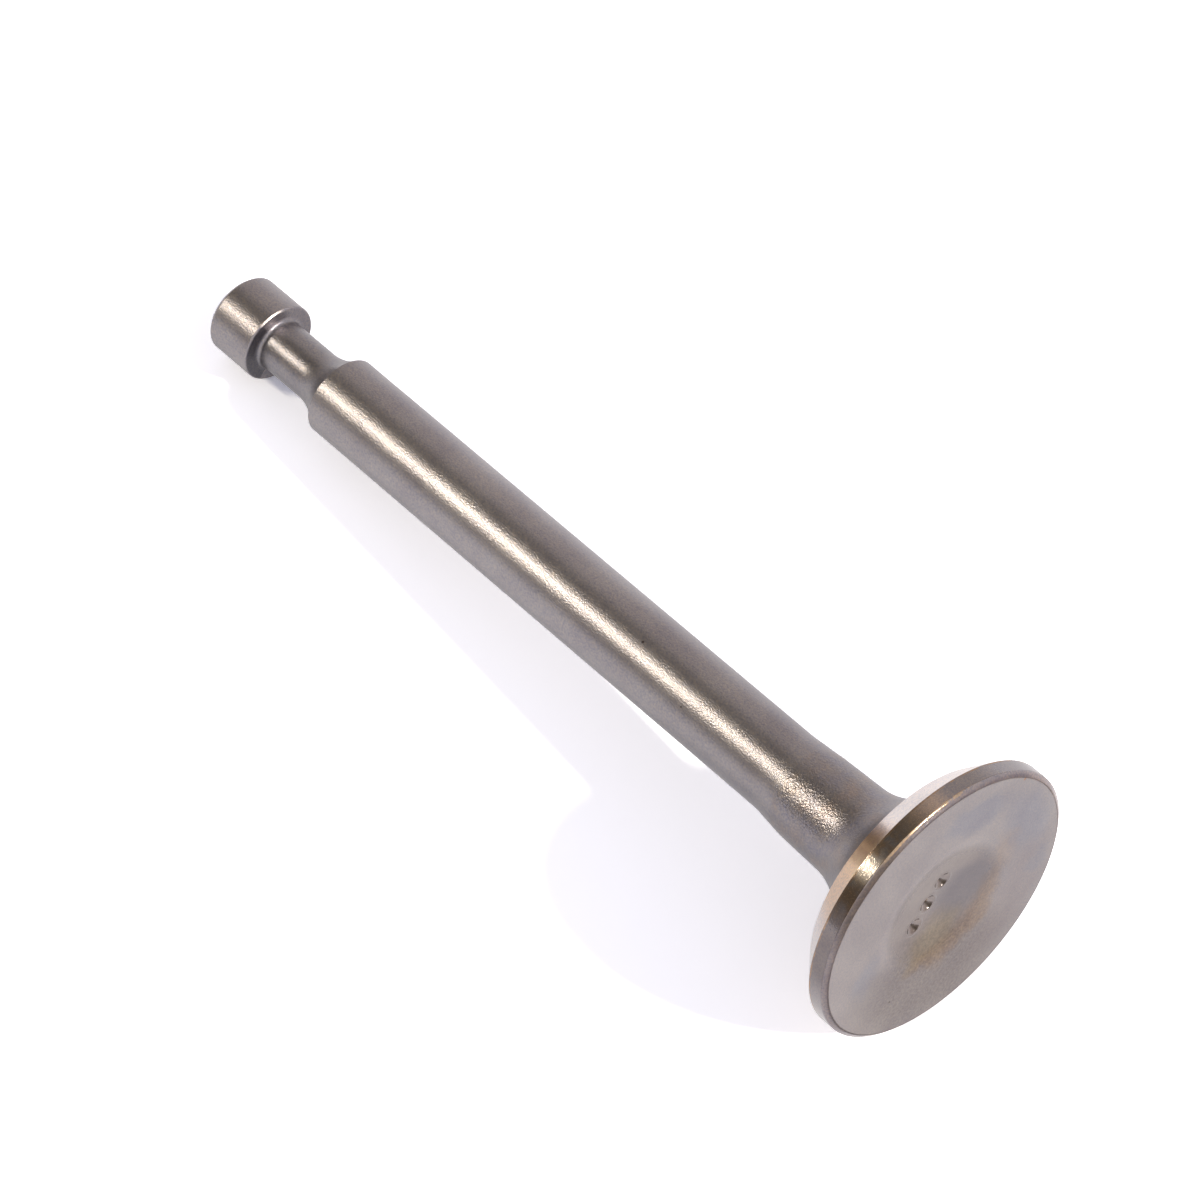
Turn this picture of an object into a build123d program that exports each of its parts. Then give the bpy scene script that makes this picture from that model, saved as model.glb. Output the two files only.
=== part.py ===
from build123d import *
import os
from math import radians, sqrt, tan

# Engine valve, one forged and ground piece.  It stands on its head: the origin is the centre of the
# head face and +Z runs up the stem to the tip.  Lengths are millimetres, angles are degrees.

# Overall
overall_length = 94.9

# Head
head_diameter = 28.0
face_chamfer = 0.4
margin_height = 1.45
seat_angle = 45.0
seat_width = 2.4          # measured across the radius
underside_angle = 26.0    # rise of the cone behind the seat, above the face plane

# Shallow dish forged into the head face
dish_diameter = 14.4
dish_depth = 0.6
dish_edge_radius = 2.5

# Round punch marks in the dish
punch_count = 3
punch_spacing = 2.4
punch_diameter = 1.8
punch_angle = 100.0       # included angle of the punch point
punch_row_offset = 2.0    # from the valve axis to the row
punch_row_turn = -90.0    # turn of the row about the valve axis

# Neck, left as forged, then the ground stem
neck_fillet = 6.5
neck_diameter = 9.02      # at neck_gauge_height
neck_gauge_height = 11.7
neck_taper = 2.1          # half angle
grind_runout = 3.4        # length of the ramp from the forged neck to the ground stem
stem_start = 19.75
stem_diameter = 8.0
stem_edge = 0.12

# Keeper waist and tip
waist_length = 9.0
waist_diameter = 5.1
waist_flare = 5.3         # radius of the sweep out to the end of the stem
shoulder_fillet = 0.45
tip_length = 5.65
tip_edge = 0.15
tip_chamfer = 0.45

head_radius = head_diameter / 2
stem_radius = stem_diameter / 2
waist_radius = waist_diameter / 2
shoulder_height = overall_length - tip_length
stem_end = shoulder_height - waist_length

# The dish is part of a ball.
dish_radius = dish_diameter / 2
dish_ball_radius = (dish_radius**2 + dish_depth**2) / (2 * dish_depth)


def dish_height(radius):
    """Height of the dish surface above the face plane, at a distance from the axis."""
    return sqrt(dish_ball_radius**2 - radius**2) - dish_ball_radius + dish_depth


def neck_radius(height):
    """Radius of the tapered forged neck, at a height above the face plane."""
    return neck_diameter / 2 - (height - neck_gauge_height) * tan(radians(neck_taper))


# Seat: a cone from the top of the margin in to the underside.
margin_top = face_chamfer + margin_height
seat_inner_radius = head_radius - seat_width
seat_top = margin_top + seat_width * tan(radians(seat_angle))

# Corner where the underside cone and the tapered neck would meet without their fillet.
underside_slope = tan(radians(underside_angle))
taper_slope = tan(radians(neck_taper))
corner_height = (seat_top + underside_slope * (seat_inner_radius - neck_radius(0))) / (
    1 - underside_slope * taper_slope
)
neck_top = stem_start - grind_runout

# The waist flare touches the waist and ends at the edge of the stem.
flare_rise = stem_radius - stem_edge - waist_radius
flare_length = sqrt(waist_flare**2 - (waist_flare - flare_rise) ** 2)
flare_start = (waist_radius, stem_end + flare_length)

with BuildPart() as valve:
    with BuildSketch(Plane.XZ):
        with BuildLine():
            dish = ThreePointArc(
                (0, dish_depth), (dish_radius / 2, dish_height(dish_radius / 2)), (dish_radius, 0)
            )
            rim = Polyline(
                dish @ 1,
                (head_radius - face_chamfer, 0),
                (head_radius, face_chamfer),
                (head_radius, margin_top),
                (seat_inner_radius, seat_top),
            )
            neck = FilletPolyline(
                rim @ 1,
                (neck_radius(corner_height), corner_height),
                (neck_radius(neck_top), neck_top),
                radius=neck_fillet,
            )
            stem = Polyline(
                neck @ 1,
                (stem_radius, stem_start),
                (stem_radius, stem_end - stem_edge),
                (stem_radius - stem_edge, stem_end),
            )
            TangentArc(flare_start, stem @ 1, tangent=(0, -1))
            waist = Line(flare_start, (waist_radius, shoulder_height - shoulder_fillet))
            shoulder = TangentArc(
                waist @ 1, (waist_radius + shoulder_fillet, shoulder_height), tangent=waist % 1
            )
            tip = Polyline(
                shoulder @ 1,
                (stem_radius - tip_edge, shoulder_height),
                (stem_radius, shoulder_height + tip_edge),
                (stem_radius, overall_length - tip_chamfer),
                (stem_radius - tip_chamfer, overall_length),
                (0, overall_length),
            )
            Line(tip @ 1, dish @ 0)
        make_face()
    revolve(axis=Axis.Z)

    # The flat ring of the face rolls over softly into the dish.
    face_circles = valve.edges().group_by(Axis.Z)[0]
    fillet(face_circles.sort_by(SortBy.RADIUS)[0], dish_edge_radius)

    # A row of cone-pointed punch marks, pressed square to the face.  Each cutting cone starts one mark
    # radius outside the dish, so that it breaks the curved surface all round.
    punch_radius = punch_diameter / 2
    punch_slope = tan(radians(punch_angle / 2))
    with Locations(Plane.XY.rotated((0, 0, punch_row_turn))):
        for index in range(punch_count):
            along = (index - (punch_count - 1) / 2) * punch_spacing
            surface = dish_height(sqrt(punch_row_offset**2 + along**2))
            with Locations((punch_row_offset, along, surface - punch_radius)):
                Cone(
                    punch_radius * (1 + punch_slope),
                    0,
                    punch_radius * (1 + 1 / punch_slope),
                    align=(Align.CENTER, Align.CENTER, Align.MIN),
                    mode=Mode.SUBTRACT,
                )

valve.part.label = "valve"

os.makedirs("parts", exist_ok=True)
export_step(valve.part, "parts/valve.step")
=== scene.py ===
from math import atan2, ceil, cos, pi, radians, sin, sqrt, tan

import bpy
from mathutils import Matrix, Vector


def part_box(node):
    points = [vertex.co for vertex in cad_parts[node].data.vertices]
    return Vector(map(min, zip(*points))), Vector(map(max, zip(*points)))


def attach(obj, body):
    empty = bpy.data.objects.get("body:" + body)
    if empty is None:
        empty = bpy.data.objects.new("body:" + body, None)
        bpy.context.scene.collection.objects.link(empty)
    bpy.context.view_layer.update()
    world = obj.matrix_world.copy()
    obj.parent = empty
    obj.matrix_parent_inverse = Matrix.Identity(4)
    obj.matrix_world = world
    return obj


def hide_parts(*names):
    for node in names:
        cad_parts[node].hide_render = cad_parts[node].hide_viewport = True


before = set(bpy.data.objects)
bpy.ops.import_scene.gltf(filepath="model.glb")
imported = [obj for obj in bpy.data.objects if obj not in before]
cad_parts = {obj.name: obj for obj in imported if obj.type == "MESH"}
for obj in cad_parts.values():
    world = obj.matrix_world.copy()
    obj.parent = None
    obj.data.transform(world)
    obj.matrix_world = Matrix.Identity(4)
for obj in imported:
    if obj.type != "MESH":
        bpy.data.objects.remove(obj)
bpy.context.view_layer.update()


# ------------------------------------------------------------------------------------------------
# The valve.  One piece of heat-resistant steel, forged with a broad head and a flared neck; the
# stem, seat, margin, keeper waist and tip are then ground or turned on it.  It is fixed to nothing
# and stands on the flat ring of its head.  Lengths are millimetres until the mesh is made.

MM = 0.001
_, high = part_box("valve")
head_radius = high.x / MM
overall_length = high.z / MM

# Head
face_chamfer = 0.45
chamfer_height = 0.33
margin_top = 1.85
seat_width = 2.4
underside_slope = tan(radians(26.0))
dish_radius = 7.2
dish_depth = 0.6
dish_middle_radius = 6.0
dish_middle_ball = 58.0

# Neck and stem
neck_radius = 4.51
neck_gauge_height = 11.7
neck_slope = tan(radians(2.1))
grind_runout = 3.4
stem_start = 19.75
stem_radius = 4.0
stem_edge = 0.12

# Keeper waist and tip
waist_length = 9.0
waist_radius = 2.55
waist_flare = 5.3
tip_length = 5.65
tip_edge = 0.15
tip_chamfer = 0.45

# Roundings of the corners, in order from the dish to the tip
dish_middle_rounding = 3.0
dish_edge_rounding = 2.5
face_rounding = 0.3
chamfer_rounding = 0.22
margin_rounding = 0.05
seat_rounding = 0.12
neck_rounding = 6.5
grind_rounding = 12.0
stem_edge_rounding = 0.04
flare_rounding = 0.03
shoulder_rounding = 0.45
tip_edge_rounding = 0.12
tip_chamfer_rounding = 0.25

# Spacing of the points along the section
dish_step = 0.2
dish_steps = 27
flare_steps = 12
punched_radius = 4.6
punched_height = dish_depth + 0.1
punched_spacing = 0.07
forged_spacing = 0.3
ground_spacing = 1.0

face_radius = head_radius - face_chamfer
seat_inner_radius = head_radius - seat_width
seat_top = margin_top + seat_width
shoulder_height = overall_length - tip_length
stem_end = shoulder_height - waist_length
neck_top = stem_start - grind_runout


def dish_height(radius):
    """Height of the middle of the dish above the face plane, at a distance from the axis."""
    return dish_depth - radius**2 / (2 * dish_middle_ball)


def neck_radius_at(height):
    """Radius of the tapered neck at a height."""
    return neck_radius - (height - neck_gauge_height) * neck_slope


def rounded(corners, arc_step=0.3, fewest=4, support=0.03):
    """A line through (radius, height, rounding) corners, each turned in an arc with a point close
    before and behind it, so that smooth shading stays at the corner."""
    path = [Vector(corners[0][:2])]
    for before, here, after in zip(corners, corners[1:], corners[2:]):
        corner, rounding = Vector(here[:2]), here[2]
        if not rounding:
            path.append(corner)
            continue
        along = (corner - Vector(before[:2])).normalized()
        onward = (Vector(after[:2]) - corner).normalized()
        turn = -along.angle_signed(onward)
        start = corner - along * rounding * tan(abs(turn) / 2)
        centre = start + Vector((-along.y, along.x)) * (rounding if turn > 0 else -rounding)
        steps = max(fewest, ceil(rounding * abs(turn) / arc_step))
        arc = [
            centre + Matrix.Rotation(turn * step / steps, 2) @ (start - centre)
            for step in range(steps + 1)
        ]
        path += [start - along * support, *arc, arc[-1] + onward * support]
    return path + [Vector(corners[-1][:2])]


def spaced(path, longest):
    """The line with its long runs divided, each piece no longer than longest(point) allows."""
    points = [path[0]]
    for here, there in zip(path, path[1:]):
        pieces = max(1, ceil((there - here).length / longest((here + there) / 2)))
        points += [here.lerp(there, piece / pieces) for piece in range(1, pieces + 1)]
    return points


def ring_spacing(point):
    """Fine rings where the punch marks are, medium ones where the forging is uneven."""
    if point.y < punched_height and point.x < punched_radius:
        return punched_spacing
    if point.y < stem_start:
        return forged_spacing
    return ground_spacing


# The half section, from the middle of the dish out to the rim and up to the middle of the tip.
# Its corners are (radius, height, rounding).
dish = [(dish_step * step, dish_height(dish_step * step), 0) for step in range(dish_steps)]
corner_height = (seat_top + underside_slope * (seat_inner_radius - neck_radius_at(0))) / (
    1 - underside_slope * neck_slope
)
flare_rise = stem_radius - stem_edge - waist_radius
flare_turn = atan2(sqrt(waist_flare**2 - (waist_flare - flare_rise) ** 2), waist_flare - flare_rise)
flare_top = stem_end + waist_flare * sin(flare_turn)
flare_turns = [flare_turn * (1 - step / flare_steps) for step in range(1, flare_steps + 1)]
flare = [
    (waist_radius + waist_flare * (1 - cos(turn)), flare_top - waist_flare * sin(turn), 0)
    for turn in flare_turns
]
section = rounded(
    dish
    + [
        (dish_middle_radius, dish_height(dish_middle_radius), dish_middle_rounding),
        (dish_radius, 0, dish_edge_rounding),
        (face_radius, 0, face_rounding),
        (head_radius, chamfer_height, chamfer_rounding),
        (head_radius, margin_top, margin_rounding),
        (seat_inner_radius, seat_top, seat_rounding),
        (neck_radius_at(corner_height), corner_height, neck_rounding),
        (neck_radius_at(neck_top), neck_top, grind_rounding),
        (stem_radius, stem_start, grind_rounding),
        (stem_radius, stem_end - stem_edge, stem_edge_rounding),
        (stem_radius - stem_edge, stem_end, flare_rounding),
    ]
    + flare
    + [
        (waist_radius, shoulder_height, shoulder_rounding),
        (stem_radius - tip_edge, shoulder_height, tip_edge_rounding),
        (stem_radius, shoulder_height + tip_edge, tip_edge_rounding),
        (stem_radius, overall_length - tip_chamfer, tip_chamfer_rounding),
        (stem_radius - tip_chamfer, overall_length, tip_edge_rounding),
        (0, overall_length, 0),
    ]
)
section = spaced(section, ring_spacing)


class Value:
    """One output of a node.  Arithmetic on it adds Math nodes to its tree."""

    def __init__(self, graph, socket):
        self.graph = graph
        self.socket = socket

    def __add__(self, other):
        return self.graph.math("ADD", self, other)

    def __radd__(self, other):
        return self.graph.math("ADD", other, self)

    def __sub__(self, other):
        return self.graph.math("SUBTRACT", self, other)

    def __rsub__(self, other):
        return self.graph.math("SUBTRACT", other, self)

    def __mul__(self, other):
        return self.graph.math("MULTIPLY", self, other)

    def __rmul__(self, other):
        return self.graph.math("MULTIPLY", other, self)

    def __truediv__(self, other):
        return self.graph.math("DIVIDE", self, other)

    def __rtruediv__(self, other):
        return self.graph.math("DIVIDE", other, self)

    def __pow__(self, other):
        return self.graph.math("POWER", self, other)


class Graph:
    """A node tree that is written as formulas."""

    def __init__(self, tree):
        self.tree = tree
        tree.nodes.clear()

    def node(self, kind, settings=None, inputs=None, output=0):
        """Adds a node: its type, its settings, then the values or links of its sockets."""
        made = self.tree.nodes.new(kind)
        for name, setting in (settings or {}).items():
            if name == "stops":
                self.set_stops(made.color_ramp, setting)
            else:
                setattr(made, name, setting)
        for name, value in (inputs or {}).items():
            if isinstance(value, Value):
                self.tree.links.new(value.socket, made.inputs[name])
            else:
                made.inputs[name].default_value = value
        return Value(self, made.outputs[output]) if len(made.outputs) else None

    @staticmethod
    def set_stops(ramp, stops):
        """Gives a colour ramp its (position, colour) stops."""
        while len(ramp.elements) < len(stops):
            ramp.elements.new(0.5)
        for element, (position, colour) in zip(ramp.elements, stops):
            element.position = position
            element.color = (*colour, 1.0)

    def outputs(self, kind, inputs=None):
        """Adds a node and gives all its outputs, by name."""
        made = self.node(kind, None, inputs).socket.node
        return {socket.name: Value(self, socket) for socket in made.outputs if socket.name}

    def math(self, operation, *terms):
        return self.node("ShaderNodeMath", {"operation": operation}, dict(enumerate(terms)))

    def vector(self, operation, *terms, output="Vector", **named):
        return self.node(
            "ShaderNodeVectorMath", {"operation": operation}, {**dict(enumerate(terms)), **named}, output
        )

    def parts(self, vector):
        return self.outputs("ShaderNodeSeparateXYZ", {0: vector}).values()

    def join(self, x, y, z):
        return self.node("ShaderNodeCombineXYZ", None, {0: x, 1: y, 2: z})

    def rise(self, value, start, end):
        """0 up to start, 1 from end, smooth between."""
        return self.node(
            "ShaderNodeMapRange",
            {"interpolation_type": "SMOOTHSTEP"},
            {"Value": value, "From Min": start, "From Max": end},
        )

    def fall(self, value, start, end):
        """1 up to start, 0 from end, smooth between."""
        return 1 - self.rise(value, start, end)

    def between(self, value, start, end, soft):
        """1 from start to end, with soft edges."""
        half = soft / 2
        return self.rise(value, start - half, start + half) * self.fall(value, end - half, end + half)

    def grain(self, vector, size, detail=2.0, rough=0.5, output="Fac"):
        """Noise about 0.5, whose lumps are about size across."""
        return self.node(
            "ShaderNodeTexNoise",
            {"noise_dimensions": "3D"},
            {"Vector": vector, "Scale": 1 / size, "Detail": detail, "Roughness": rough},
            output,
        )


# The lathe: every ring of the section is swept round the axis, then the punch marks are pressed
# in and the forged neck is made slightly uneven and set a little off centre.
lathe_sizes = {
    "Facets": ("NodeSocketInt", 192),
    "Punch Count": ("NodeSocketInt", 3),
    "Punch Spacing": ("NodeSocketFloat", 2.4 * MM),
    "Punch Offset": ("NodeSocketFloat", 2.0 * MM),
    "Punch Radius": ("NodeSocketFloat", 0.9 * MM),
    "Punch Depth": ("NodeSocketFloat", 0.7 * MM),
    "Burr Height": ("NodeSocketFloat", 0.05 * MM),
    "Burr Width": ("NodeSocketFloat", 0.13 * MM),
    "Merge Distance": ("NodeSocketFloat", 0.0001 * MM),
    "Neck Bottom": ("NodeSocketFloat", seat_top * MM),
    "Neck Bottom Fade": ("NodeSocketFloat", 2 * MM),
    "Neck Top": ("NodeSocketFloat", stem_start * MM),
    "Neck Top Fade": ("NodeSocketFloat", grind_runout * MM),
    "Neck Unevenness": ("NodeSocketFloat", 0.05 * MM),
    "Unevenness Size": ("NodeSocketFloat", 3.5 * MM),
    "Neck Shift": ("NodeSocketVector", (-0.085 * MM, -0.030 * MM, 0.0)),
}
lathe = bpy.data.node_groups.new("valve_lathe", "GeometryNodeTree")
lathe.interface.new_socket("Section", in_out="INPUT", socket_type="NodeSocketGeometry")
size_sockets = {
    name: lathe.interface.new_socket(name, in_out="INPUT", socket_type=kind)
    for name, (kind, size) in lathe_sizes.items()
}
finish_socket = lathe.interface.new_socket("Finish", in_out="INPUT", socket_type="NodeSocketMaterial")
lathe.interface.new_socket("Valve", in_out="OUTPUT", socket_type="NodeSocketGeometry")

# A square sheet, one unit wide about the origin, is rolled up: its X becomes the turn round the
# axis and its Y the place along the section.
g = Graph(lathe)
given = g.outputs("NodeGroupInput")
rings = g.node("GeometryNodeAttributeDomainSize", None, {"Geometry": given["Section"]}, "Point Count")
sheet = g.node(
    "GeometryNodeMeshGrid",
    None,
    {"Size X": 1.0, "Size Y": 1.0, "Vertices X": given["Facets"] + 1, "Vertices Y": rings},
)
place = g.node("GeometryNodeInputPosition")
across, along, _ = g.parts(place)
on_section = g.node(
    "GeometryNodeSampleIndex",
    {"data_type": "FLOAT_VECTOR"},
    {
        "Geometry": given["Section"],
        "Value": place,
        "Index": g.math("ROUND", (along + 0.5) * (rings - 1)),
    },
)
ring_radius, _, ring_height = g.parts(on_section)
turn = (across + 0.5) * (2 * pi)
rolled = g.join(ring_radius * g.math("COSINE", turn), ring_radius * g.math("SINE", turn), ring_height)
swept = g.node("GeometryNodeSetPosition", None, {"Geometry": sheet, "Position": rolled})
closed = g.node(
    "GeometryNodeMergeByDistance", None, {"Geometry": swept, "Distance": given["Merge Distance"]}
)

# Cone-pointed punch marks in a row, each with a burr round its mouth
x, y, z = g.parts(place)
first_mark = g.join(
    (given["Punch Count"] - 1) * given["Punch Spacing"] * -0.5, given["Punch Offset"] * -1, 0.0
)
marks = g.node(
    "GeometryNodeMeshLine",
    {"mode": "OFFSET"},
    {
        "Count": given["Punch Count"],
        "Start Location": first_mark,
        "Offset": g.join(given["Punch Spacing"], 0.0, 0.0),
    },
)
apart = g.node(
    "GeometryNodeProximity",
    {"target_element": "POINTS"},
    {0: marks, "Sample Position": g.join(x, y, 0.0)},
    "Distance",
)
dent = given["Punch Depth"] * g.math("MAXIMUM", 1 - apart / given["Punch Radius"], 0.0)
burr_place = (apart - given["Punch Radius"]) / given["Burr Width"]
burr = given["Burr Height"] * g.math("EXPONENT", burr_place * burr_place * -1)
pressed = (dent - burr) * g.math("LESS_THAN", z, punched_height * MM)
punched = g.node(
    "GeometryNodeSetPosition", None, {"Geometry": closed, "Offset": g.join(0.0, 0.0, pressed)}
)

# The neck as it came from the forging dies
unevenness = g.grain(place, given["Unevenness Size"], 2.0, 0.45)
uneven = g.vector(
    "SCALE", g.node("GeometryNodeInputNormal"), Scale=(unevenness - 0.5) * given["Neck Unevenness"]
)
as_forged = g.rise(z, given["Neck Bottom"], given["Neck Bottom"] + given["Neck Bottom Fade"]) * g.fall(
    z, given["Neck Top"] - given["Neck Top Fade"], given["Neck Top"]
)
off_round = g.vector("SCALE", g.vector("ADD", uneven, given["Neck Shift"]), Scale=as_forged)
forged = g.node("GeometryNodeSetPosition", None, {"Geometry": punched, "Offset": off_round})
smooth = g.node("GeometryNodeSetShadeSmooth", None, {"Geometry": forged})
whole = g.node("GeometryNodeRealizeInstances", None, {"Geometry": smooth})
finished = g.node("GeometryNodeSetMaterial", None, {"Geometry": whole, "Material": given["Finish"]})
g.node("NodeGroupOutput", None, {"Valve": finished})


# The finish: satin ground steel, a duller forged neck, a bright ground seat and a face that
# combustion heat has tinted, with some light and shade painted into its colours.  Its places are
# millimetres on the valve.  Directions round the axis are degrees, with -90 towards the front.
def new_material(name):
    """A material, and the graph of its nodes."""
    material = bpy.data.materials.new(name)
    material.use_nodes = True
    return material, Graph(material.node_tree)


def tone(red, green, blue):
    """A colour as a socket takes it."""
    return (red, green, blue, 1.0)


# The Mix node's sockets for colours
MIX_FIRST, MIX_SECOND, MIX_RESULT = 6, 7, 2


def blended(share, first, second, how="MIX"):
    """A colour mixed, or otherwise blended, by share."""
    return g.node(
        "ShaderNodeMix",
        {"data_type": "RGBA", "blend_type": how},
        {0: share, MIX_FIRST: first, MIX_SECOND: second},
        MIX_RESULT,
    )


def mottled(share, first, pattern, stops):
    """A colour multiplied, by share, with the tints that a pattern picks from a ramp."""
    tints = g.node("ShaderNodeValToRGB", {"stops": stops}, {"Fac": pattern})
    return blended(share, first, tints, "MULTIPLY")


valve_steel, g = new_material("valve_steel")
place = g.vector("SCALE", g.node("ShaderNodeTexCoord", output="Object"), Scale=1 / MM)
x, y, z = g.parts(place)
radius = (x * x + y * y) ** 0.5
azimuth = g.math("ARCTAN2", y, x)


def sector(start, end, soft):
    """1 between two directions, with soft edges, whose width is in radians."""
    return g.between(azimuth, radians(start), radians(end), soft)


def near(spot, core, reach):
    """1 within core of a spot, 0 beyond reach."""
    return g.fall(g.vector("DISTANCE", place, spot, output="Value"), core, reach)


# Zones: each is 1 on its own surface and 0 elsewhere, and the face takes in the dish.  The small
# numbers are how far a zone reaches past the sizes that it is made from, or how soft its edge is.
edge = 0.05
face_zone_top = 0.9
low_down = g.fall(z, margin_top - edge, margin_top)
on_face = g.fall(z, face_zone_top, face_zone_top + 0.1) * g.fall(radius, face_radius - edge, face_radius)
on_margin = low_down * g.rise(z, chamfer_height - edge, chamfer_height + edge)
on_chamfer = low_down * (1 - on_face) * (1 - on_margin)
seat_blend = 0.2
on_seat = g.between(z, margin_top, seat_top, edge) * g.rise(
    radius, seat_inner_radius - seat_blend, seat_inner_radius
)
neck_zone_top = neck_top + 1.0
neck_wander = 1.6
neck_blend = 0.5
wandering = z + (g.grain(place, 2.0) - 0.5) * neck_wander
on_neck = g.between(wandering, seat_top, neck_zone_top, neck_blend) * (1 - on_seat)
on_waist = g.between(z, stem_end, shoulder_height + 0.02, edge)
mid_stem = g.between(z, 40.0, 72.0, 20.0)

# The flat of the tip's shoulder, where shade is painted, and the edge round it on the side that shines,
# where a glint is painted
on_shoulder = g.between(z, shoulder_height - 0.30, shoulder_height + 0.06, 0.1)
on_shoulder = on_shoulder * g.rise(radius, 2.6, 2.8)
rim_glint_zone = g.between(z, shoulder_height - 0.03, shoulder_height + 0.20, 0.03)
rim_glint_zone = rim_glint_zone * g.rise(radius, 3.80, 3.86) * sector(-68, -32, 0.2)

# A broken brown line under the top of the margin, and the corner of its foot, where a golden glint is
# painted
on_line = on_margin * g.rise(z, margin_top - 0.22, margin_top - 0.10)
on_line = on_line * g.rise(g.grain(place, 0.9), 0.35, 0.6)
corner_glint_zone = g.between(z, 0.22, 0.46, 0.05) * g.rise(radius, head_radius - 0.18, head_radius - 0.12)
corner_glint_zone = corner_glint_zone * sector(-72, -32, 0.3) * g.rise(g.grain(place, 0.5), 0.35, 0.55)

# The dish, where shade is painted, and the rolled edge of its near side, where a highlight is painted
dish_painted_shade = g.fall(radius, 5.1, 7.0) * on_face
dish_edge_painted_highlight = g.between(radius, 6.5, 7.7, 0.5) * sector(-155, -5, 0.5) * on_face

# Sides of the head and the tip: heat tints, and painted light, shade and glints
# A straw heat tint on the seat, and painted shade on the chamfer, on this side
straw_and_shade_side = sector(-104, -64, 0.3)
# A golden heat tint on the seat that is also a painted golden glint
gilt_and_glint_wander = 0.12
gilt_and_glint_place = azimuth + (g.grain(place, 1.1) - 0.5) * gilt_and_glint_wander
gilt_and_glint = g.between(gilt_and_glint_place, radians(-82), radians(-67), 0.2)
scorched = sector(-98, -57, 0.2) * g.rise(g.grain(place, 1.3), 0.3, 0.6)
# Partly a heat tint on the margin, partly painted: the margin is lighter here as painted sheen, the seat
# darker as painted shade
heat_tint_and_painted_side = sector(-57, -41, 0.15)
# Painted reflections: on this side the margin is darker and the seat lighter
painted_reflection_side = sector(-128, -97, 0.3)
# Painted glint: the margin is lighter where the lamp's glint falls on it
glint_sector = sector(-82, -73, 0.08)
# Painted light: the chamfer is lighter on its far side, where it catches light at a grazing angle
painted_light_far_side = g.rise(azimuth, radians(-4), radians(12))
# Painted light: the tip's shoulder is lighter from here round
painted_light_side = g.rise(azimuth, radians(-72), radians(-58))

# Colours of the steel; those named painted are painted light, shade or glints
stem_colour = tone(0.348, 0.330, 0.348)
# Painted shade: the stem is a little darker towards both ends, for the darker reflections there
stem_end_painted_shade = tone(0.315, 0.297, 0.314)
neck_colour = tone(0.294, 0.273, 0.284)
waist_colour = tone(0.280, 0.268, 0.285)
# Painted shade on the tip's shoulder, dark where it mirrors the shaded waist, and painted light on its
# lit side
shoulder_painted_shade = tone(0.130, 0.124, 0.140)
shoulder_painted_light = tone(0.240, 0.222, 0.236)
# Painted glint on the rim of the tip's shoulder
rim_painted_glint = tone(0.600, 0.540, 0.490)
seat_colour = tone(0.790, 0.715, 0.700)
# Painted light: the seat is lighter on the side where it mirrors the bench
seat_painted_light = tone(0.890, 0.810, 0.785)
seat_painted_shade = tone(0.710, 0.655, 0.645)
straw_seat = tone(0.790, 0.560, 0.400)
# Partly a heat tint, partly a painted glint
seat_gilt_and_glint = tone(0.980, 0.660, 0.400)
margin_colour = tone(0.305, 0.282, 0.292)
scorched_margin = tone(0.300, 0.230, 0.180)
# Painted shade: the margin is darker on that side
margin_painted_shade = tone(0.235, 0.210, 0.212)
margin_heat_and_sheen = tone(0.490, 0.395, 0.335)
# Painted glint on the margin
margin_painted_glint = tone(0.520, 0.470, 0.430)
margin_line = tone(0.420, 0.290, 0.200)
chamfer_colour = tone(0.385, 0.350, 0.368)
# Painted light on the far side of the chamfer
chamfer_painted_light = tone(0.540, 0.490, 0.490)
# Painted shade: the chamfer is darker on the straw side
chamfer_painted_shade = tone(0.270, 0.232, 0.222)
# Painted golden glint on the corner at the foot of the margin
corner_painted_glint = tone(0.600, 0.450, 0.300)
face_colour = tone(0.422, 0.389, 0.388)

stem = blended(mid_stem, stem_end_painted_shade, stem_colour)
shoulder = blended(painted_light_side, shoulder_painted_shade, shoulder_painted_light)
margin = blended(scorched, margin_colour, scorched_margin)
margin = blended(painted_reflection_side, margin, margin_painted_shade)
margin = blended(heat_tint_and_painted_side, margin, margin_heat_and_sheen)
margin = blended(glint_sector, margin, margin_painted_glint)
chamfer = blended(painted_light_far_side, chamfer_colour, chamfer_painted_light)
chamfer = blended(straw_and_shade_side, chamfer, chamfer_painted_shade)
seat = blended(painted_reflection_side, seat_colour, seat_painted_light)
seat = blended(heat_tint_and_painted_side, seat, seat_painted_shade)
seat = blended(straw_and_shade_side, seat, straw_seat)
seat = blended(gilt_and_glint, seat, seat_gilt_and_glint)
colour = blended(on_neck, stem, neck_colour)
colour = blended(on_waist, colour, waist_colour)
colour = blended(on_shoulder, colour, shoulder)
colour = blended(rim_glint_zone, colour, rim_painted_glint)
colour = blended(on_margin, colour, margin)
colour = blended(on_line, colour, margin_line)
colour = blended(on_chamfer, colour, chamfer)
colour = blended(corner_glint_zone, colour, corner_painted_glint)
colour = blended(on_seat, colour, seat)
colour = blended(on_face, colour, face_colour)

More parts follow.
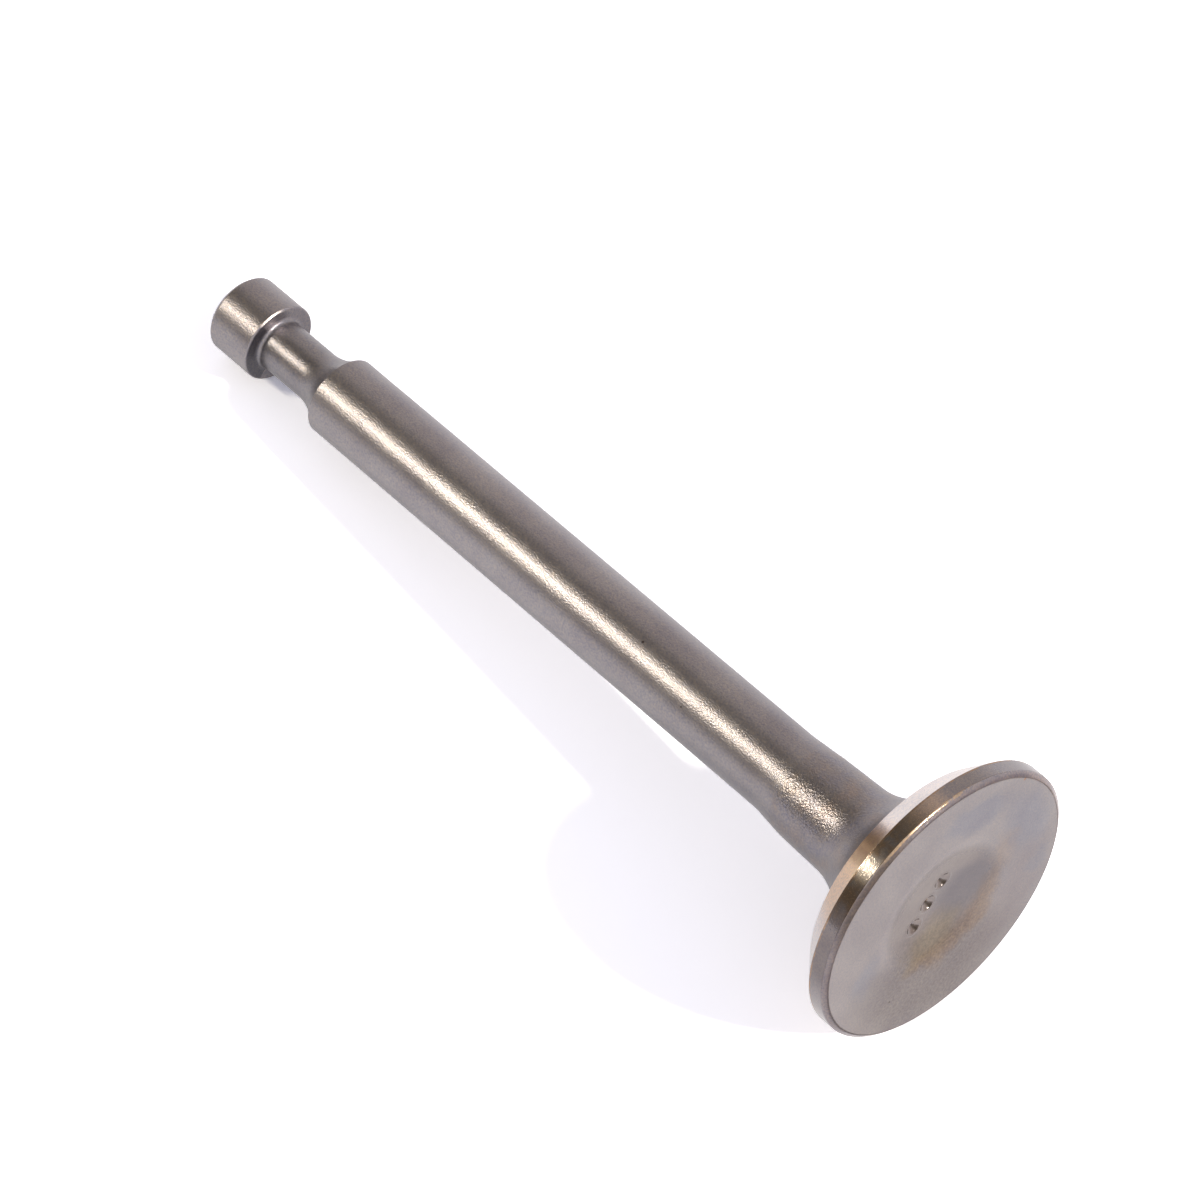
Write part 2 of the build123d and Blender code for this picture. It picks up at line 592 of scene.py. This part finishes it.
# Heat tints on the face, with wavy edges: x, y, half length, half width, turn in degrees, colour.
tint_core = 0.45
tint_reach = 1.35
wave_size = 3.0
wave_height = 3.5
dull_side = (-7.3, 4.4)
tints = [
    (*dull_side, 9.7, 6.3, 60.0, tone(0.745, 0.72, 0.705)),
    (1.9, 9.7, 6.8, 2.9, 0.0, tone(0.97, 0.95, 0.95)),
    (2.2, 2.0, 4.4, 3.2, 75.0, tone(0.76, 0.79, 0.86)),
    (-3.5, 1.7, 3.5, 2.3, 30.0, tone(1.02, 0.98, 0.82)),
    (9.3, 4.9, 4.5, 2.3, 120.0, tone(0.88, 0.92, 1.00)),
    (9.5, -3.3, 4.1, 1.7, 62.0, tone(0.87, 0.91, 0.99)),
    (-7.6, -5.6, 2.7, 1.2, 150.0, tone(0.90, 0.94, 1.01)),
    (5.2, 10.6, 1.7, 1.0, 120.0, tone(0.90, 0.94, 1.00)),
    (6.2, 4.5, 2.5, 1.2, 128.0, tone(1.02, 0.96, 0.90)),
]
wave = g.vector("SUBTRACT", g.grain(place, wave_size, output="Color"), (0.5, 0.5, 0.5))
wavy = g.vector("ADD", place, g.vector("SCALE", wave, Scale=wave_height))
wavy_x, wavy_y, _ = g.parts(wavy)
for tint_x, tint_y, length, width, turn, tint in tints:
    across, along = wavy_x - tint_x, wavy_y - tint_y
    lengthways = (across * cos(radians(turn)) + along * sin(radians(turn))) / length
    sideways = (along * cos(radians(turn)) - across * sin(radians(turn))) / width
    away = (lengthways * lengthways + sideways * sideways) ** 0.5
    colour = blended(g.fall(away, tint_core, tint_reach) * on_face, colour, tint, "MULTIPLY")

# A brown arc round the far side of the dish
arc_radius = 6.1
arc_core = 0.2
arc_reach = 1.7
off_arc = g.math("ABSOLUTE", (wavy_x * wavy_x + wavy_y * wavy_y) ** 0.5 - arc_radius)
arc_side = g.between(g.math("ARCTAN2", wavy_y, wavy_x), radians(40), radians(172), 0.8)
brown_arc = g.fall(off_arc, arc_core, arc_reach) * arc_side * on_face
colour = blended(brown_arc, colour, tone(1.03, 0.93, 0.82), "MULTIPLY")
# Painted shade inside the dish, and a painted highlight on its near edge
colour = blended(dish_painted_shade, colour, tone(0.84, 0.80, 0.76), "MULTIPLY")
colour = blended(dish_edge_painted_highlight, colour, tone(1.05, 1.04, 1.04), "MULTIPLY")

# Small nicks and specks: place, size, colour.
speck_core = 0.5
speck_reach = 1.4
specks = [
    ((1.97, -3.48, 36.85), 0.13, tone(0.30, 0.27, 0.26)),
    ((-0.16, -4.0, 29.9), 0.10, tone(0.40, 0.36, 0.34)),
    ((13.35, 0.28, 0.0), 0.14, tone(1.25, 0.75, 0.40)),
    ((-2.6, 4.4, 0.45), 0.10, tone(0.45, 0.42, 0.40)),
    ((-10.0, 0.56, 0.0), 0.10, tone(0.50, 0.46, 0.44)),
]
for spot, size, tint in specks:
    colour = blended(near(spot, size * speck_core, size * speck_reach), colour, tint, "MULTIPLY")

# Mottling: patches on the neck, fine speckle and broad clouds over all, and stains on the dull
# side of the face.
plain = (1.0, 1.0, 1.0)
patch = g.grain(place, 1.9)
patch_tints = [(0.35, (0.95, 0.97, 1.04)), (0.5, plain), (0.65, (1.07, 1.01, 0.96))]
speckle = g.grain(place, 0.20, rough=0.6)
speckle_tints = [(0.3, (0.79, 0.82, 0.89)), (0.5, plain), (0.7, (1.23, 1.16, 1.04))]
speckled = 1 - 0.3 * on_face - 0.35 * on_margin
stain = g.grain(place, 0.32, rough=0.6)
stain_tints = [(0.35, (0.87, 0.87, 0.88)), (0.65, (1.12, 1.12, 1.10))]
stained = near((*dull_side, 0.0), core=4.0, reach=10.0) * on_face
cloud = g.grain(place, 5.0, detail=3.0, rough=0.55)
cloud_tints = [(0.35, (0.92, 0.91, 0.92)), (0.65, (1.06, 1.06, 1.04))]
colour = mottled(on_neck, colour, patch, patch_tints)
colour = mottled(speckled, colour, speckle, speckle_tints)
colour = mottled(stained, colour, stain, stain_tints)
colour = mottled(1.0, colour, cloud, cloud_tints)

# Roughness: the satin stem's, and how much smoother the other surfaces are.  Speckle and clouds
# vary it.
stem_roughness = 0.345
smoother = [(on_face, 0.01), (on_chamfer, 0.17), (on_margin, 0.205), (on_seat, 0.20)]
speckle_change = 0.08 - 0.05 * on_margin
cloud_change = 0.04
rough = stem_roughness
for zone, less in smoother:
    rough = rough - less * zone
rough = rough + (speckle - 0.5) * speckle_change + (cloud - 0.5) * cloud_change

# Relief, in millimetres: the fine grain of the grinding wheel, coarser grain and slanting marks
# on the forged neck, pits at the rim, and fine rings on the ground seat.
stem_grain = 0.025
finer = [(on_neck, 0.010), (on_face, 0.008), (on_chamfer, 0.010), (on_margin, 0.0245)]
lost_on_seat = 0.97
neck_grain = 0.037
slant_height = 0.012
slant_twist = 0.07
slant_stretch = (1.0, 1.0, 0.16)
pit_level = 0.58
margin_pits = 0.01
chamfer_pits = 0.04
seat_rings = 0.003
fine = g.grain(place, 0.14, detail=1.0) - 0.5
coarse = g.grain(place, 0.19, detail=1.0) - 0.5
twisted = g.node(
    "ShaderNodeVectorRotate", {"rotation_type": "Z_AXIS"}, {"Vector": place, "Angle": z * slant_twist}
)
slanting = g.grain(g.vector("MULTIPLY", twisted, slant_stretch), 0.16, detail=1.0) - 0.5
pits = g.math("MAXIMUM", g.grain(place, 0.16, detail=1.0) - pit_level, 0.0)
ringed = g.grain(g.join(x * 0.25, y * 0.25, z * 3.0), 0.3) - 0.5
grain_height = stem_grain
for zone, less in finer:
    grain_height = grain_height - less * zone
relief = fine * grain_height * (1 - lost_on_seat * on_seat)
relief = relief + coarse * neck_grain * on_neck
relief = relief + slanting * slant_height * on_neck
relief = relief + pits * (margin_pits * on_margin + chamfer_pits * on_chamfer)
relief = relief + ringed * seat_rings * on_seat

# The grinding lines run round the axis, so a highlight is a little longer along it.
surface = g.node(
    "ShaderNodeBsdfPrincipled",
    None,
    {
        "Base Color": colour,
        "Metallic": 1.0,
        "Roughness": rough,
        "Anisotropic": 0.2,
        "Anisotropic Rotation": 0.25,
        "Normal": g.node("ShaderNodeBump", None, {"Strength": 1.0, "Distance": MM, "Height": relief}),
    },
)
g.node("ShaderNodeOutputMaterial", None, {"Surface": surface})


# The half section becomes the lathe's input, and its result the valve's own mesh.
def linked(name, data):
    """A new object of the scene."""
    made = bpy.data.objects.new(name, data)
    bpy.context.scene.collection.objects.link(made)
    return made


outline = bpy.data.meshes.new("valve_section")
outline.from_pydata(
    [(point.x * MM, 0.0, point.y * MM) for point in section],
    [(point, point + 1) for point in range(len(section) - 1)],
    [],
)
blank = linked("valve_blank", outline)
turning = blank.modifiers.new("lathe", "NODES")
turning.node_group = lathe
for name, (kind, size) in lathe_sizes.items():
    turning[size_sockets[name].identifier] = size
turning[finish_socket.identifier] = valve_steel
bpy.context.view_layer.update()
evaluated = blank.evaluated_get(bpy.context.evaluated_depsgraph_get())
valve_mesh = bpy.data.meshes.new_from_object(evaluated)
bpy.data.objects.remove(blank)
valve = linked("engine_valve", valve_mesh)
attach(valve, "root")
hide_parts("valve")


# ------------------------------------------------------------------------------------------------
# The bench.  A sheet of white card that the valve leans on with its margin and its tip, as it does
# when it is laid down.  Seen from behind, the card isn't there, so every side of the valve shows.

WHITE = tone(1.0, 1.0, 1.0)
card_colour = tone(0.95, 0.95, 0.95)
card_in_view = tone(1.73, 1.78, 1.80)
card_in_gloss = tone(0.64, 0.64, 0.64)
glow_in_gloss = 0.36
bench_normal = Vector((0.70302, -0.70302, -0.10737)).normalized()
bench_turn = bench_normal.to_track_quat("Z", "Y").to_matrix()
bench_drop = 14.12 * MM
bench_size = 1.6


def ray(kind):
    """1 on rays of a kind, such as Camera or Glossy."""
    return g.node("ShaderNodeLightPath", output=f"Is {kind} Ray")


def in_front():
    """1 on the front of a surface, 0 on its back."""
    return 1 - g.node("ShaderNodeNewGeometry", output="Backfacing")


def finish_card(there, colour, strength):
    """Ends a material: matt card with a glow of its own where it is there, clear elsewhere."""
    matt = g.node("ShaderNodeBsdfDiffuse", None, {"Color": colour})
    glow = g.node("ShaderNodeEmission", None, {"Color": WHITE, "Strength": strength})
    card = g.node("ShaderNodeAddShader", None, {0: matt, 1: glow})
    clear = g.node("ShaderNodeBsdfTransparent")
    shown = g.node("ShaderNodeMixShader", None, {0: there, 1: clear, 2: card})
    g.node("ShaderNodeOutputMaterial", None, {"Surface": shown})


def set_piece(name, corners, faces, material):
    """A stage piece, which is no part of the valve."""
    mesh = bpy.data.meshes.new(name)
    mesh.from_pydata(corners, [], faces)
    mesh.materials.append(material)
    piece = linked(name, mesh)
    return piece


# The card goes white where it is looked at, and greyer but evenly lit where the steel mirrors it.
bench_card, g = new_material("bench_card")
card = blended(ray("Glossy"), card_colour, card_in_gloss)
card = blended(ray("Camera"), card, card_in_view)
finish_card(in_front(), card, ray("Glossy") * glow_in_gloss)
half = bench_size / 2
bench_corners = [
    bench_turn @ Vector((side_x * half, side_y * half, -bench_drop))
    for side_x, side_y in ((-1, -1), (1, -1), (1, 1), (-1, 1))
]
set_piece("bench", bench_corners, [(0, 1, 2, 3)], bench_card)


# ------------------------------------------------------------------------------------------------
# The floor.  White card under the head of the standing valve.  It shows only from above and shades
# nothing, and it is open under the head, so the face can be seen from below.

floor_size = 1.6
floor_glow = 0.15
floor_facets = 96
hole_radius = (face_radius - 0.1) * MM


def seen():
    """1 on the rays that show a thing: straight, in gloss and through glass."""
    return ray("Camera") + ray("Glossy") + ray("Transmission")


def circle(radius, height, count):
    """Points round the Z axis."""
    turns = [2 * pi * step / count for step in range(count)]
    return [Vector((radius * cos(turn), radius * sin(turn), height)) for turn in turns]


def quads_between(rings, count):
    """Faces that join rings of points, each ring to the next."""
    return [
        (
            ring * count + step,
            (ring + 1) * count + step,
            (ring + 1) * count + (step + 1) % count,
            ring * count + (step + 1) % count,
        )
        for ring in range(rings - 1)
        for step in range(count)
    ]


floor_card, g = new_material("floor_card")
card = blended(ray("Camera"), card_colour, card_in_view)
finish_card(seen() * in_front(), card, floor_glow)
inner = circle(hole_radius, 0.0, floor_facets)
outer = circle(floor_size / 2, 0.0, floor_facets)
set_piece("floor", inner + outer, quads_between(2, floor_facets), floor_card)


# ------------------------------------------------------------------------------------------------
# The room.  The studio round the bench is dim, and bright steel shows it: a dark dome that only
# reflections see, brown overhead, grey on one side and pale along the horizon of the bench.

dome_radius = 2.0
dome_bands = 24
dome_facets = 64
stem_side = Vector((0.0, 0.0, 1.0)).cross(bench_normal).normalized()
dark_ceiling = tone(0.21, 0.183, 0.150)
pale_ceiling = tone(0.67, 0.60, 0.565)
dark_wall = tone(0.50, 0.45, 0.43)
pale_wall = tone(0.90, 0.84, 0.84)

room_tone, g = new_material("room_tone")
place = g.vector("SCALE", g.node("ShaderNodeTexCoord", output="Object"), Scale=1 / dome_radius)
height = g.vector("DOT_PRODUCT", place, tuple(bench_normal), output="Value")
side = g.vector("DOT_PRODUCT", place, tuple(stem_side), output="Value")
overhead = blended(g.rise(side, 0.05, 0.5), dark_ceiling, pale_ceiling)
walls = blended(g.rise(side, -0.2, 0.4), dark_wall, pale_wall)
shade = blended(g.rise(height, 0.0, 0.38), walls, overhead)
glow = g.node("ShaderNodeEmission", None, {"Color": shade})
g.node("ShaderNodeOutputMaterial", None, {"Surface": glow})

lifts = [pi / 2 * band / dome_bands for band in range(dome_bands)]
dome = [
    bench_turn @ point
    for lift in lifts
    for point in circle(dome_radius * cos(lift), dome_radius * sin(lift), dome_facets)
]
dome_cap = tuple((dome_bands - 1) * dome_facets + step for step in range(dome_facets))
room = set_piece("room", dome, quads_between(dome_bands, dome_facets) + [dome_cap], room_tone)
room.visible_camera = False
room.visible_diffuse = False
room.visible_shadow = False
room.visible_transmission = False


# ------------------------------------------------------------------------------------------------
# The lamps and the sky.  A small warm lamp makes the long streak on the stem, a low lamp on the
# other side throws the main shadow on the bench, and an even sky fills the rest.

aim = Vector((0.0, 0.0, overall_length * MM / 2))


def set_lamp(name, kind, direction, distance, energy, colour):
    """A lamp that shines at the middle of the valve from a direction."""
    data = bpy.data.lights.new(name, kind)
    data.energy = energy
    data.color = colour
    lamp = linked(name, data)
    lamp.location = aim + Vector(direction).normalized() * distance
    lamp.rotation_euler = Vector(direction).to_track_quat("Z", "Y").to_euler()
    lamp.visible_camera = False
    return data


streak_lamp = set_lamp(
    "streak_lamp",
    "AREA",
    direction=(0.1008, -0.8581, 0.490),
    distance=0.60,
    energy=1.15,
    colour=(1.0, 0.91, 0.755),
)
streak_lamp.shape = "DISK"
streak_lamp.size = 0.10
shadow_lamp = set_lamp(
    "shadow_lamp",
    "SUN",
    direction=(0.56, -0.21, -0.80),
    distance=1.0,
    energy=2.19,
    colour=(1.0, 0.93, 0.86),
)
shadow_lamp.angle = radians(3.0)

sky = bpy.data.worlds.new("sky")
sky.use_nodes = True
g = Graph(sky.node_tree)
even = g.node("ShaderNodeBackground", None, {"Color": tone(0.85, 0.835, 1.0), "Strength": 0.46})
pale = g.node("ShaderNodeBackground", None, {"Color": WHITE, "Strength": 1.0})
air = g.node("ShaderNodeMixShader", None, {0: seen(), 1: even, 2: pale})
g.node("ShaderNodeOutputWorld", None, {"Surface": air})
bpy.context.scene.world = sky


# ------------------------------------------------------------------------------------------------
# The camera.  It looks at the head from below and from the side, square to nothing, with the tip
# pointing away.

camera_place = Vector((141.336, -393.147, -193.953)) * MM
camera_back = Vector((0.29153, -0.81747, -0.49674))
camera_up = Vector((0.82710, -0.04545, 0.56021))
camera_axes = Matrix((camera_up.cross(camera_back), camera_up, camera_back)).transposed()
camera_data = bpy.data.cameras.new("camera")
camera_data.sensor_width = 36.0
camera_data.lens = 162.05
camera_data.clip_start = 0.01
camera_data.clip_end = 10.0
camera = linked("camera", camera_data)
camera.matrix_world = Matrix.Translation(camera_place) @ camera_axes.to_4x4()
bpy.context.scene.camera = camera
bpy.context.scene.view_settings.view_transform = "Standard"
